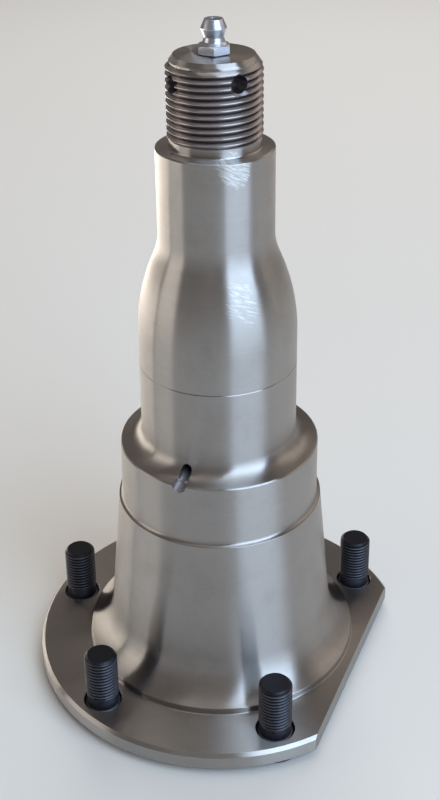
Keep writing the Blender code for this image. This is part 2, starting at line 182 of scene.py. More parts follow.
NIPPLE_TIP_HEIGHT = 2.25 * MM
NIPPLE_LIP = 0.4 * MM
NIPPLE_MOUTH_RADIUS = 0.95 * MM
NIPPLE_BORE_RADIUS = 1.5 * MM
NIPPLE_THROAT_RADIUS = 0.75 * MM
NIPPLE_THROAT_LENGTH = 1.5 * MM

# Spring under the ball
SPRING_WIRE_RADIUS = 0.16 * MM
SPRING_TURNS = 7

# Patches rubbed by hand with emery cloth, whose scratches are also given a painted highlight: direction
# and height of the middle, reach and strength
EMERY_PATCHES = ((-46.0, 160.5 * MM, 6.5 * MM, 1.0),
                 (-45.0, 123.0 * MM, 8.5 * MM, 0.8),
                 (-14.0, 118.0 * MM, 6.0 * MM, 0.25),
                 (-118.0, 119.0 * MM, 6.0 * MM, 0.25))

# How finely the shapes are drawn
SPINDLE_COLUMNS = 192
STUD_COLUMNS = 64
NIPPLE_COLUMNS = 96
BORE_COLUMNS = 48
FLARE_STEPS = 24
SPRING_STEPS = 24
EDGE_SUPPORT = 0.2 * MM

# Finishes of the spindle, in the order of its list of materials
TURNED, THREADED, MILLED, DRILLED = range(4)

# Camera: where it stands, how it is aimed, and how far its picture was cut from the middle
CAMERA_DIRECTION = -67.03
CAMERA_DISTANCE = 315.2 * MM
CAMERA_HEIGHT = 268.9 * MM
CAMERA_PITCH = 24.35
CAMERA_YAW = 0.16
CAMERA_ROLL = -0.68
CAMERA_LENS = 57.07
CAMERA_SENSOR = 36.0
CAMERA_SHIFT_Y = -0.167

# Softboxes: degrees round from the camera, distance, height, the box's two sides, watts and colour
SOFTBOXES = {"right_window": (42, 0.9, 0.75, 0.88, 0.9, 11.2, "cbe4ff"),
             "under_window": (42, 0.9, 0.15, 0.88, 0.3, 1.2, "d7e9ff"),
             "left_wall": (-80, 0.85, 0.24, 0.5, 0.45, 1.1, "fff6ea"),
             "left_back_strip": (-138, 0.38, 0.027, 0.65, 0.05, 0.66, "fff3e2"),
             "right_back_wall": (120, 0.9, 0.65, 1.2, 0.5, 1.4, "ffeedd"),
             "overhead": (180, 0.05, 1.3, 0.9, 0.9, 2.2, "fffdf8"),
             "floor_light": (176, 0.95, 0.9, 0.8, 0.8, 5.2, "fbfdff")}
SEEN_IN_GLOSS_ONLY = ("under_window", "left_back_strip")
NOT_SEEN_IN_GLOSS = ("floor_light",)
LIGHT_AIM_HEIGHT = 80 * MM
FLOOR_REACH = 6.0


def direction(degrees):
    """Unit vector that points away from the axis in the given direction."""
    return Vector((math.cos(math.radians(degrees)), math.sin(math.radians(degrees)), 0.0))


def put_in_scene(name, data):
    thing = bpy.data.objects.new(name, data)
    bpy.context.scene.collection.objects.link(thing)
    return thing


def put_mesh(name, build):
    """Ends the building of a mesh, and puts it in the scene as an object."""
    mesh = bpy.data.meshes.new(name)
    build.to_mesh(mesh)
    build.free()
    return put_in_scene(name, mesh)


def rounded(corners, step=7.5):
    """Outline through (radius, height, rounding) corners, with an arc at each rounded one.

    An arc is drawn in steps of so many degrees at most, and of 1 mm at most.
    """
    points = []
    for index, (radius, height, rounding) in enumerate(corners):
        here = Vector((radius, height))
        if not rounding:
            points.append(here)
            continue
        before = (Vector(corners[index - 1][:2]) - here).normalized()
        after = (Vector(corners[index + 1][:2]) - here).normalized()
        opening = before.angle(after)
        turn = math.pi - opening
        reach = rounding * math.tan(turn / 2)
        centre = here + (before + after).normalized() * rounding / math.cos(turn / 2)
        start = here + before * reach - centre
        end = here + after * reach - centre
        count = max(2, math.ceil(math.degrees(turn) / step), math.ceil(rounding * turn / MM))
        for number in range(count + 1):
            share = number / count
            mixed = (start * math.sin(turn * (1 - share)) + end * math.sin(turn * share))
            points.append(centre + mixed / math.sin(turn))
    return points


def supported(points):
    """Adds points close to the ends of each long straight run, so that flats and walls shade true."""
    full = [points[0]]
    for start, end in zip(points, points[1:]):
        along = end - start
        if along.length > 5 * EDGE_SUPPORT:
            inset = along.normalized() * EDGE_SUPPORT
            full += [start + inset, end - inset]
        full.append(end)
    return full


def rings(points, columns):
    """Level rows for a turned shape; the last point of a row closes on the first."""
    return [[(point[0], point[1])] * (columns + 1) for point in points]


def skin(name, rows, columns, tube=False):
    """Wraps rows of (radius, height) round the Z axis into one closed mesh object."""
    build = bmesh.new()
    grid = []
    for row in rows:
        line = []
        for column, (radius, height) in enumerate(row):
            angle = math.tau * column / columns
            line.append(build.verts.new((radius * math.cos(angle), radius * math.sin(angle), height)))
        grid.append(line)
    pairs = list(zip(grid, grid[1:]))
    if tube:
        pairs.append((grid[-1], grid[0]))
    else:
        build.faces.new(list(reversed(grid[0][:columns])))
        build.faces.new(grid[-1][:columns])
    for lower, upper in pairs:
        for column in range(columns):
            build.faces.new((lower[column], lower[column + 1], upper[column + 1], upper[column]))
    touching = 0.001 * MM
    bmesh.ops.remove_doubles(build, verts=build.verts, dist=touching)
    bmesh.ops.dissolve_degenerate(build, edges=build.edges, dist=touching)
    return put_mesh(name, build)


def round_off(thing, degrees):
    """Shades a piece smooth, but for the edges that turn by more than some degrees."""
    thing.data.shade_smooth()
    thing.data.set_sharp_from_angle(angle=math.radians(degrees))


def turned_cutter(name, points, place=(0, 0, 0), along=(0, 0, 1)):
    """Turned shape that is taken away from another, set at a place with its axis along a vector."""
    cutter = skin(name, rings(points, BORE_COLUMNS), BORE_COLUMNS)
    turn = Vector(along).to_track_quat("Z", "Y").to_matrix().to_4x4()
    cutter.data.transform(Matrix.Translation(place) @ turn)
    return cutter


def slab_cutter(name, low, high):
    build = bmesh.new()
    bmesh.ops.create_cube(build, size=1.0)
    for corner in build.verts:
        for axis in range(3):
            corner.co[axis] = high[axis] if corner.co[axis] > 0 else low[axis]
    return put_mesh(name, build)


def merged(name, things):
    """Joins cutters that don't touch each other into one, so that they cut in one step."""
    build = bmesh.new()
    for thing in things:
        build.from_mesh(thing.data)
        bpy.data.objects.remove(thing, do_unlink=True)
    return put_mesh(name, build)


def cut(body, cutters):
    """Cuts each cutter out of a body for good, and clears the cutters away."""
    for cutter in cutters:
        step = body.modifiers.new(cutter.name, "BOOLEAN")
        step.operation = "DIFFERENCE"
        step.solver = "MANIFOLD"
        step.object = cutter
    graph = bpy.context.evaluated_depsgraph_get()
    finished = bpy.data.meshes.new_from_object(body.evaluated_get(graph))
    body.modifiers.clear()
    body.data = finished
    for cutter in cutters:
        bpy.data.objects.remove(cutter, do_unlink=True)


def spindle_heights():
    """Heights of the turned features above the back face of the flange."""
    angle = math.radians(NECK_ANGLE)
    radii = NECK_LOWER_RADIUS + NECK_UPPER_RADIUS
    drop = INNER_JOURNAL_RADIUS - OUTER_JOURNAL_RADIUS
    straight = drop - radii * (1 - math.cos(angle))
    heights = {"step": FLANGE_THICKNESS + CONE_LENGTH}
    heights["ledge"] = heights["step"] + SEAL_LAND_LENGTH
    heights["neck foot"] = heights["ledge"] + INNER_JOURNAL_LENGTH
    heights["neck head"] = (heights["neck foot"] + radii * math.sin(angle)
                            + straight / math.tan(angle))
    heights["shoulder"] = heights["neck head"] + OUTER_JOURNAL_LENGTH
    heights["relief top"] = heights["shoulder"] + RELIEF_LENGTH
    heights["end"] = heights["shoulder"] + NOSE_LENGTH
    return heights


HEIGHTS = spindle_heights()
THREAD_DEPTH = THREAD_DEPTH_SHARE * THREAD_PITCH
RELIEF_RADIUS = THREAD_RADIUS - RELIEF_UNDER_CREST


def flare_points():
    """Points up the flare, from where the collar cuts it off to where it runs into the taper."""
    taper = math.radians(CONE_TAPER)
    centre_height = FLANGE_THICKNESS + FLARE_LIFT + FLARE_RADIUS
    centre_radius = (CONE_TOP_RADIUS + math.tan(taper) * (HEIGHTS["step"] - centre_height)
                     + FLARE_RADIUS / math.cos(taper))
    lowest = math.acos((centre_radius - COLLAR_RADIUS) / FLARE_RADIUS)
    points = []
    for step in range(FLARE_STEPS + 1):
        angle = lowest + (taper - lowest) * step / FLARE_STEPS
        points.append((centre_radius - FLARE_RADIUS * math.cos(angle),
                       centre_height - FLARE_RADIUS * math.sin(angle)))
    return points


def spindle_outline():
    """Turned outline from the back face up to the thread, with its edges and roots rounded."""
    hair = 0.08 * MM
    soft = 0.15 * MM
    rim = FLANGE_RADIUS
    face = FLANGE_THICKNESS
    land = SEAL_LAND_RADIUS
    inner = INNER_JOURNAL_RADIUS
    outer = OUTER_JOURNAL_RADIUS
    step = HEIGHTS["step"]
    ledge = HEIGHTS["ledge"]
    shoulder = HEIGHTS["shoulder"]
    flare = flare_points()
    scribe = ledge + SCRIBE_HEIGHT
    bend = math.tan(math.radians(NECK_ANGLE / 2))
    corners = [(rim - FLANGE_BACK_CHAMFER, 0.0, 0),
               (rim, FLANGE_BACK_CHAMFER, soft),
               (rim, face - FLANGE_FRONT_CHAMFER, hair),
               (rim - FLANGE_FRONT_CHAMFER, face, hair),
               (COLLAR_RADIUS, face, COLLAR_ROOT_FILLET),
               (*flare[0], 2 * soft)]
    corners += [(radius, height, 0) for radius, height in flare[2:]]
    corners += [(CONE_TOP_RADIUS, step, soft),
                (land, step, CONE_TOP_RADIUS - land - soft),
                (land, ledge - LEDGE_CHAMFER, hair),
                (land - LEDGE_CHAMFER, ledge, hair),
                (inner, ledge, min(LEDGE_FILLET, land - LEDGE_CHAMFER - inner) - hair),
                (inner, scribe - SCRIBE_WIDTH / 2, 0),
                (inner - SCRIBE_DEPTH, scribe, 0),
                (inner, scribe + SCRIBE_WIDTH / 2, 0),
                (inner, HEIGHTS["neck foot"] + NECK_LOWER_RADIUS * bend, NECK_LOWER_RADIUS),
                (outer, HEIGHTS["neck head"] - NECK_UPPER_RADIUS * bend, NECK_UPPER_RADIUS),
                (outer, shoulder - SHOULDER_CHAMFER_LENGTH, soft),
                (outer - SHOULDER_CHAMFER_DEPTH, shoulder, soft),
                (RELIEF_RADIUS, shoulder, RELIEF_FILLET),
                (RELIEF_RADIUS, HEIGHTS["relief top"], 0)]
    return supported(rounded(corners, step=4.5))


def thread_shape(crest, pitch, root_share, crest_share):
    """One pitch of a 60 degree thread as (share of pitch, radius), with its crest edges rounded."""
    root = crest - THREAD_DEPTH_SHARE * pitch
    half_root = root_share / 2
    half_crest = crest_share / 2
    edge = crest - THREAD_EDGE_DROP * THREAD_EDGE_SHARE * pitch
    flank_head = crest - THREAD_FLANK_DROP * THREAD_EDGE_SHARE * pitch
    return ((0.0, root),
            (half_root, root),
            (0.5 - half_crest - THREAD_EDGE_SHARE, flank_head),
            (0.5 - half_crest, edge),
            (0.5, crest),
            (0.5 + half_crest, edge),
            (0.5 + half_crest + THREAD_EDGE_SHARE, flank_head),
            (1.0 - half_root, root))


def thread_rows(shape, pitch, low, high, columns, shank, nose, start=0.0):
    """Rows that follow a right-handed thread between two heights.

    It runs out into a shank at its foot, and is cut off by the cone that nose() gives. What a turn
    has past either height is folded onto it.
    """
    rows = []
    for turn in range(math.ceil((high - low) / pitch) + 3):
        for share, radius in shape:
            row = []
            for column in range(columns + 1):
                advance = turn + share - 2 + start + column / columns
                height = min(max(low + pitch * advance, low), high)
                cut_in = min(1.0, (height - low) / THREAD_RUN_OUT)
                row.append((min(shank + (radius - shank) * cut_in, nose(height)), height))
            rows.append(row)
    return rows


def nose_chamfer(height):
    """Radius of the cone that the nose is chamfered to."""
    fall = NOSE_CHAMFER_DEPTH / NOSE_CHAMFER_LENGTH
    return THREAD_RADIUS - NOSE_CHAMFER_DEPTH + fall * (HEIGHTS["end"] - height)


def stud_places():
    """Axis of each stud in the flange, read from the solids."""
    places = {}
    for name in sorted(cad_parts):
        if name.startswith("stud_"):
            low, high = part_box(name)
            places[name] = Vector(((low[0] + high[0]) / 2, (low[1] + high[1]) / 2, 0.0))
    return places


def flange_cutters():
    """The slab that leaves the flat, and the stud holes with their spot faces and broken edges."""
    reach = 2 * FLANGE_RADIUS
    cutters = [slab_cutter("flat_cutter", (FLAT_DISTANCE, -reach, -reach),
                           (reach, reach, FLANGE_THICKNESS * 2))]
    face = FLANGE_THICKNESS
    hole = STUD_HOLE_RADIUS
    outline = [(SPOT_FACE_RADIUS, -face),
               (SPOT_FACE_RADIUS, SPOT_FACE_DEPTH),
               (hole, SPOT_FACE_DEPTH),
               (hole, face - STUD_HOLE_BREAK),
               (hole + STUD_HOLE_BREAK * 2, face + STUD_HOLE_BREAK),
               (hole + STUD_HOLE_BREAK * 2, 2 * face)]
    for name, place in stud_places().items():
        cutters.append(turned_cutter(f"{name}_hole_cutter", outline, place))
    return cutters


def cotter_cutters():
    """Two crossing holes through the nose, each with its mouths broken by a countersink."""
    hole = COTTER_HOLE_RADIUS
    flare = 2 * COTTER_HOLE_RADIUS
    cutters = []
    for number, (degrees, from_end, broken) in enumerate(COTTER_HOLES, start=1):
        reach = THREAD_RADIUS - broken
        outline = [(hole + flare, -reach - flare),
                   (hole, -reach),
                   (hole, reach),
                   (hole + flare, reach + flare)]
        centre = Vector((0, 0, HEIGHTS["end"] - from_end))
        cutters.append(turned_cutter(f"cotter_hole_cutter_{number}", outline, centre,
                                     direction(degrees)))
    return cutters


def grease_outlet_line():
    """Where the slanting outlet meets the axis, its way out, and how far along it the mouth starts."""
    slope = math.tan(math.radians(GREASE_OUTLET_SLOPE))
    level = HEIGHTS["ledge"] - GREASE_OUTLET_UNDER_LEDGE
    meeting = Vector((0, 0, level + SEAL_LAND_RADIUS * slope))
    way_out = direction(GREASE_OUTLET_DIRECTION) - Vector((0, 0, slope))
    return meeting, way_out, way_out.length * (SEAL_LAND_RADIUS - GREASE_MOUTH_DEPTH)


def grease_cutters():
    """The slanting outlet through the ledge, and the drilling down the axis under the nipple."""
    meeting, way_out, mouth = grease_outlet_line()
    past_the_land = 1.2
    length = way_out.length * SEAL_LAND_RADIUS * past_the_land
    outlet = turned_cutter("grease_outlet_cutter",
                           [(GREASE_OUTLET_RADIUS, 0.0),
                            (GREASE_OUTLET_RADIUS, mouth),
                            (GREASE_OUTLET_RADIUS + GREASE_MOUTH_BREAK, mouth + GREASE_MOUTH_BREAK),
                            (GREASE_OUTLET_RADIUS + GREASE_MOUTH_BREAK, length)],
                           meeting, way_out)
    nipple_depth = HEIGHTS["end"] - NIPPLE_THREAD_LENGTH - 2 * NIPPLE_SEAT_GAP
    drill = turned_cutter("grease_drill_cutter",
                          [(GREASE_DRILL_RADIUS, meeting.z - 2 * GREASE_OUTLET_RADIUS),
                           (GREASE_DRILL_RADIUS, nipple_depth),
                           (NIPPLE_HOLE_RADIUS, nipple_depth),
                           (NIPPLE_HOLE_RADIUS, HEIGHTS["end"] + NOSE_LENGTH)])
    return outlet, drill


def off_line(point, start, way):
    """How far a point lies along a line from its start, and how far off it; way has a length of 1."""
    out = point - start
    along = out.dot(way)
    return along, math.sqrt(max(0.0, out.length_squared - along ** 2))


def on_drilled_wall(point, studs):
    """True on the walls of the cotter holes, of the grease outlet and of the stud holes."""
    hair = 0.03 * MM
    if hair < point.z < FLANGE_THICKNESS - hair:
        return any((point - place).xy.length < SPOT_FACE_RADIUS + hair for place in studs)
    for degrees, from_end, broken in COTTER_HOLES:
        centre = Vector((0, 0, HEIGHTS["end"] - from_end))
        along, off = off_line(point, centre, direction(degrees))
        flared = max(0.0, abs(along) - (THREAD_RADIUS - broken))
        if off < COTTER_HOLE_RADIUS + flared + hair:
            return True
    meeting, way_out, mouth = grease_outlet_line()
    along, off = off_line(point, meeting, way_out.normalized())
    flared = min(max(0.0, along - mouth), GREASE_MOUTH_BREAK)
    return along > 0 and off < GREASE_OUTLET_RADIUS + flared + hair


def on_thread(point):
    """True in the nose thread, and not on the chamfer or where a groove comes out shallow in it."""
    radius = math.hypot(point.x, point.y)
    hair = 0.05 * MM
    shallow = 0.35 * MM
    return (point.z > HEIGHTS["relief top"] and radius > THREAD_RADIUS - THREAD_DEPTH - hair
            and radius < nose_chamfer(point.z) - shallow)


def on_flat(face):
    """True on the flat that was milled across the flange."""
    return face.normal.x > 0.999 and abs(face.center.x - FLAT_DISTANCE) < 0.01 * MM


def spindle_finish(face, studs):
    if on_drilled_wall(face.center, studs):
        return DRILLED
    if on_thread(face.center):
        return THREADED
    if on_flat(face):
        return MILLED
    return TURNED


def make_spindle(finishes):
    shape = thread_shape(THREAD_RADIUS, THREAD_PITCH, NOSE_ROOT_SHARE, NOSE_CREST_SHARE)
    rows = rings(spindle_outline(), SPINDLE_COLUMNS)
    rows += thread_rows(shape, THREAD_PITCH, HEIGHTS["relief top"], HEIGHTS["end"],
                        SPINDLE_COLUMNS, RELIEF_RADIUS, nose_chamfer, THREAD_START_TURN)
    spindle = skin("turned_spindle", rows, SPINDLE_COLUMNS)
    first_cotter, second_cotter = cotter_cutters()
    outlet, drill = grease_cutters()
    apart = merged("flange_and_nose_cutter", flange_cutters() + [first_cotter, outlet])
    cut(spindle, [apart, second_cotter, drill])
    round_off(spindle, degrees=30)
    spindle.data.materials.clear()
    for finish in finishes:
        spindle.data.materials.append(finish)
    studs = list(stud_places().values())
    for face in spindle.data.polygons:
        face.material_index = spindle_finish(face, studs)
    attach(spindle, "spindle_assembly")
    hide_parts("spindle")


def stud_rows():
    """Rows up a stud: round head, serrated shoulder, plain shank and rolled thread."""
    low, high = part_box("stud_1")
    under = low[2]
    tip = high[2]
    head_top = under + STUD_HEAD_THICKNESS
    head = STUD_HEAD_RADIUS
    shoulder = STUD_SHOULDER_RADIUS
    soft = 0.12 * MM
    columns = STUD_COLUMNS
    shank = STUD_THREAD_RADIUS - STUD_SHANK_SHARE * THREAD_DEPTH_SHARE * STUD_THREAD_PITCH
    rows = rings(rounded([(head - STUD_HEAD_CHAMFER, under, 0),
                          (head, under + STUD_HEAD_CHAMFER, soft),
                          (head, head_top, soft),
                          (shoulder, head_top, 0)]), columns)
    # Serrations that bite into the hole: every other column stands in by their depth.
    for height in (head_top + EDGE_SUPPORT, STUD_SHOULDER_TOP - EDGE_SUPPORT):
        rows.append([(shoulder - STUD_SERRATION_DEPTH * (column % 2), height)
                     for column in range(columns + 1)])
    plain_top = STUD_SHOULDER_TOP + STUD_PLAIN_LENGTH
    shoulder_edge = shoulder - 1.5 * STUD_SERRATION_DEPTH
    rows += rings([(shoulder_edge, STUD_SHOULDER_TOP),
                   (shank, STUD_SHOULDER_TOP + EDGE_SUPPORT),
                   (shank, plain_top)], columns)
    shape = thread_shape(STUD_THREAD_RADIUS, STUD_THREAD_PITCH, STUD_ROOT_SHARE, STUD_CREST_SHARE)

    def tip_chamfer(height):
        """Radius of the cone that a stud's tip is chamfered to."""
        return STUD_THREAD_RADIUS - STUD_TIP_CHAMFER + (tip - height) * STUD_TIP_SLOPE

    return rows + thread_rows(shape, STUD_THREAD_PITCH, plain_top, tip, columns, shank, tip_chamfer)


def make_studs(finish):
    """Five studs on one mesh, each turned on from the one before."""
    mesh = None
    for number, (name, place) in enumerate(stud_places().items()):
        if mesh is None:
            stud = skin("threaded_stud_1", stud_rows(), STUD_COLUMNS)
            round_off(stud, degrees=40)
            stud.data.materials.append(finish)
            mesh = stud.data
        else:
            stud = put_in_scene(f"threaded_stud_{number + 1}", mesh)
        stud.location = place
        stud.rotation_euler = (0, 0, math.radians(STUD_TURN * number))
        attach(stud, "spindle_assembly")
        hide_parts(name)


def nipple_heights():
    foot = HEIGHTS["end"] + NIPPLE_SEAT_GAP
    tall = {"foot": foot, "thread end": HEIGHTS["end"] - NIPPLE_THREAD_LENGTH}
    tall["hex top"] = foot + NIPPLE_HEX_HEIGHT
    tall["skirt top"] = tall["hex top"] + NIPPLE_SKIRT_HEIGHT
    tall["neck top"] = tall["skirt top"] + NIPPLE_NECK_HEIGHT
    tall["head foot"] = tall["neck top"] + NIPPLE_UNDERCUT_HEIGHT
    tall["band top"] = tall["head foot"] + NIPPLE_BAND_HEIGHT
    tall["tip"] = tall["band top"] + NIPPLE_TIP_HEIGHT
    tall["mouth"] = tall["tip"] - NIPPLE_LIP
    tall["seat foot"] = tall["mouth"] - (NIPPLE_BORE_RADIUS - NIPPLE_MOUTH_RADIUS)
    tall["throat"] = tall["thread end"] + NIPPLE_THROAT_LENGTH
    return tall


def hexagon_rows(tall):
    """The hexagon, its corners turned off by a cone so that each flat ends in an arc."""
    half = NIPPLE_HEX_ACROSS_FLATS / 2
    columns = NIPPLE_COLUMNS
    corner = half / math.cos(math.radians(30))
    foot_break = 0.15 * MM
    foot_rise = 0.12 * MM
    into_flats = 0.06 * MM
    steps = 6
    levels = [(tall["foot"], corner - foot_break), (tall["foot"] + foot_rise, corner)]
    for step in range(steps + 1):
        share = step / steps
        levels.append((tall["hex top"] - NIPPLE_HEX_CORNER_DROP * (1 - share),
                       corner + (half - into_flats - corner) * share))
    rows = []
    for height, limit in levels:
        row = []
        for column in range(columns + 1):
            off_flat = math.radians((360.0 * column / columns) % 60.0 - 30.0)
            row.append((min(half / math.cos(off_flat), limit), height))
        rows.append(row)
    return rows


def make_nipple(finish):
    tall = nipple_heights()
    columns = NIPPLE_COLUMNS
    crisp = 0.06 * MM
    lip = 0.1 * MM
    waist = 0.15 * MM
    soft = 0.18 * MM
    bell = 0.6 * MM
    rows = rings(rounded([(NIPPLE_THROAT_RADIUS, tall["thread end"], 0),
                          (NIPPLE_THREAD_RADIUS, tall["thread end"], soft),
                          (NIPPLE_THREAD_RADIUS, tall["foot"], 0)]), columns)
    rows += hexagon_rows(tall)
    outline = [(NIPPLE_SKIRT_RADIUS + NIPPLE_SKIRT_FLARE, tall["hex top"], 0),
               (NIPPLE_SKIRT_RADIUS, tall["skirt top"], bell),
               (NIPPLE_NECK_RADIUS, tall["neck top"], waist),
               (NIPPLE_HEAD_RADIUS, tall["head foot"], crisp),
               (NIPPLE_HEAD_RADIUS, tall["band top"], lip),
               (NIPPLE_TIP_RADIUS, tall["tip"], soft),
               (NIPPLE_MOUTH_RADIUS, tall["tip"], lip),
               (NIPPLE_MOUTH_RADIUS, tall["mouth"], 0),
               (NIPPLE_BORE_RADIUS, tall["seat foot"], 0),
               (NIPPLE_BORE_RADIUS, tall["throat"], 0),
               (NIPPLE_THROAT_RADIUS, tall["throat"], 0)]
    rows += rings(rounded(outline), columns)
    nipple = skin("grease_nipple", rows, columns, tube=True)
    nipple.data.transform(Matrix.Rotation(math.radians(NIPPLE_HEX_DIRECTION), 4, "Z"))
    round_off(nipple, degrees=24)
    nipple.data.materials.append(finish)
    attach(nipple, "spindle_assembly")
    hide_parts("nipple_body")


def make_ball(finish):
    low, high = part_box("nipple_ball")
    build = bmesh.new()
    bmesh.ops.create_icosphere(build, subdivisions=4, radius=(high[2] - low[2]) / 2)
    ball = put_mesh("check_ball", build)
    ball.location = (0, 0, (low[2] + high[2]) / 2)
    ball.data.shade_smooth()
    ball.data.materials.append(finish)
    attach(ball, "check_ball")
    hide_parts("nipple_ball")


def make_spring(finish):
    """Coil spring under the ball."""
    low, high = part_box("nipple_spring")
    foot = low[2] + SPRING_WIRE_RADIUS
    length = high[2] - low[2]
    rise = length - 2 * SPRING_WIRE_RADIUS
    coil = (high[0] - low[0]) / 2 - SPRING_WIRE_RADIUS
    line = bpy.data.curves.new("nipple_coil", "CURVE")
    line.dimensions = "3D"
    line.bevel_depth = SPRING_WIRE_RADIUS
    line.bevel_resolution = 2
    line.use_fill_caps = True
    steps = SPRING_TURNS * SPRING_STEPS
    spline = line.splines.new("POLY")
    spline.points.add(steps)
    for number in range(steps + 1):
        angle = math.tau * SPRING_TURNS * number / steps
        spline.points[number].co = (coil * math.cos(angle), coil * math.sin(angle),
                                    foot + rise * number / steps, 1.0)
    holder = put_in_scene("nipple_coil", line)
    graph = bpy.context.evaluated_depsgraph_get()
    mesh = bpy.data.meshes.new_from_object(holder.evaluated_get(graph))
    bpy.data.objects.remove(holder, do_unlink=True)
    spring = put_in_scene("nipple_coil", mesh)
    spring.data.shade_smooth()
    spring.data.materials.append(finish)
    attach(spring, "spindle_assembly")
    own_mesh(spring)
    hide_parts("nipple_spring")


def linear(code):
    """Colour for a shader from an sRGB hex value."""
    values = []
    for place in (0, 2, 4):
        part = int(code[place:place + 2], 16) / 255
        values.append(part / 12.92 if part <= 0.04045 else ((part + 0.055) / 1.055) ** 2.4)
    return (*values, 1.0)


def add(tree, kind, inputs=None, **settings):
    """Adds a node with its settings; an input is a value, or the output that feeds it.

    Inputs go by name, or by number where a node has several of one name: in a mix of colours 0 is
    the share and 6 and 7 are the colours, and in a map range 0 is the value, 1 and 2 are where it
    comes from and 3 and 4 are where it goes to.
    """
    node = tree.nodes.new(kind)
    for name, value in settings.items():
        setattr(node, name, value)
    for socket, value in (inputs or {}).items():
        if isinstance(value, bpy.types.NodeSocket):
            tree.links.new(value, node.inputs[socket])
        else:
            node.inputs[socket].default_value = value
    return node


def new_material(name):
    finish = bpy.data.materials.new(name)
    finish.use_nodes = True
    tree = finish.node_tree
    return finish, tree, tree.nodes["Principled BSDF"]


def lathe_lines(tree, spacing, length):
    """Noise drawn out round the axis, as the tool leaves it: fast up and out, slow round about."""
    where = add(tree, "ShaderNodeTexCoord").outputs["Object"]
    parts = add(tree, "ShaderNodeSeparateXYZ", {0: where})
    flat = add(tree, "ShaderNodeCombineXYZ", {"X": parts.outputs["X"], "Y": parts.outputs["Y"]})
    radius = add(tree, "ShaderNodeVectorMath", {0: flat.outputs[0]}, operation="LENGTH")
    travel = add(tree, "ShaderNodeMath", {0: radius.outputs["Value"], 1: parts.outputs["Z"]},
                 operation="ADD")
    fast = add(tree, "ShaderNodeMath", {0: travel.outputs[0], 1: 1 / spacing}, operation="MULTIPLY")
    slow = add(tree, "ShaderNodeVectorMath", {0: flat.outputs[0], "Scale": 1 / length},
               operation="SCALE")
    height = add(tree, "ShaderNodeCombineXYZ", {"Z": fast.outputs[0]})
    place = add(tree, "ShaderNodeVectorMath", {0: slow.outputs[0], 1: height.outputs[0]},
                operation="ADD")
    return add(tree, "ShaderNodeTexNoise",
               {"Vector": place.outputs[0], "Scale": 1.0, "Detail": 2.0, "Roughness": 0.6}).outputs[0]


def off_axis(tree):
    """Distance of each point from the axis of its own piece."""
    where = add(tree, "ShaderNodeTexCoord").outputs["Object"]
    flat = add(tree, "ShaderNodeVectorMath", {0: where, 1: (1.0, 1.0, 0.0)}, operation="MULTIPLY")
    return add(tree, "ShaderNodeVectorMath", {0: flat.outputs[0]}, operation="LENGTH").outputs["Value"]


def emery_scratches(tree):
    """Height of the slanting scratches where emery cloth was drawn across by hand.

    The real scratches are about 0.2 mm apart; they are drawn 0.5 mm apart, or they wouldn't show.
    """
    ragged_edge = 12 * MM
    fade_start = 3 * MM
    fade_end = 6 * MM
    slant = 0.35
    scratch_length = 3.5 * MM
    scratch_spacing = 0.5 * MM
    where = add(tree, "ShaderNodeTexCoord").outputs["Object"]
    parts = add(tree, "ShaderNodeSeparateXYZ", {0: where})
    blotch = add(tree, "ShaderNodeTexNoise",
                 {"Vector": where, "Scale": 1 / (9 * MM), "Detail": 3.0, "Roughness": 0.6}).outputs[0]
    rubbed = None
    for degrees, height, reach, strength in EMERY_PATCHES:
        centre = direction(degrees) * OUTER_JOURNAL_RADIUS + Vector((0, 0, height))
        away = add(tree, "ShaderNodeVectorMath", {0: where, 1: centre}, operation="DISTANCE")
        ragged = add(tree, "ShaderNodeMath", {0: blotch, 1: ragged_edge, 2: away.outputs["Value"]},
                     operation="MULTIPLY_ADD")
        patch = add(tree, "ShaderNodeMapRange",
                    {0: ragged.outputs[0], 1: reach + fade_start, 2: reach + fade_end,
                     3: strength, 4: 0.0})
        if rubbed is None:
            rubbed = patch.outputs[0]
        else:
            rubbed = add(tree, "ShaderNodeMath", {0: rubbed, 1: patch.outputs[0]},
                         operation="MAXIMUM").outputs[0]
    turn = add(tree, "ShaderNodeMath", {0: parts.outputs["Y"], 1: parts.outputs["X"]},
               operation="ARCTAN2")
    along = add(tree, "ShaderNodeMath", {0: turn.outputs[0], 1: INNER_JOURNAL_RADIUS},
                operation="MULTIPLY")
    across = add(tree, "ShaderNodeMath", {0: along.outputs[0], 1: slant, 2: parts.outputs["Z"]},
                 operation="MULTIPLY_ADD")
    drawn = add(tree, "ShaderNodeCombineXYZ", {"X": along.outputs[0], "Y": across.outputs[0]})
    stretched = add(tree, "ShaderNodeVectorMath",
                    {0: drawn.outputs[0], 1: (1 / scratch_length, 1 / scratch_spacing, 0.0)},
                    operation="MULTIPLY")
    scratches = add(tree, "ShaderNodeTexNoise",
                    {"Vector": stretched.outputs[0], "Scale": 1.0, "Detail": 2.0, "Roughness": 0.7})
    return add(tree, "ShaderNodeMath", {0: scratches.outputs[0], 1: rubbed},
               operation="MULTIPLY").outputs[0]


def oil_stain(tree):
    """Share of a thin film of oil and fingermarks, which dulls the bright steel in soft blotches."""
    where = add(tree, "ShaderNodeTexCoord").outputs["Object"]
    blotch = add(tree, "ShaderNodeTexNoise",
                 {"Vector": where, "Scale": 1 / (11 * MM), "Detail": 7.0, "Roughness": 0.68})
    return add(tree, "ShaderNodeMapRange",
               {0: blotch.outputs[0], 1: 0.48, 2: 0.68, 3: 0.0, 4: 0.18}).outputs[0]


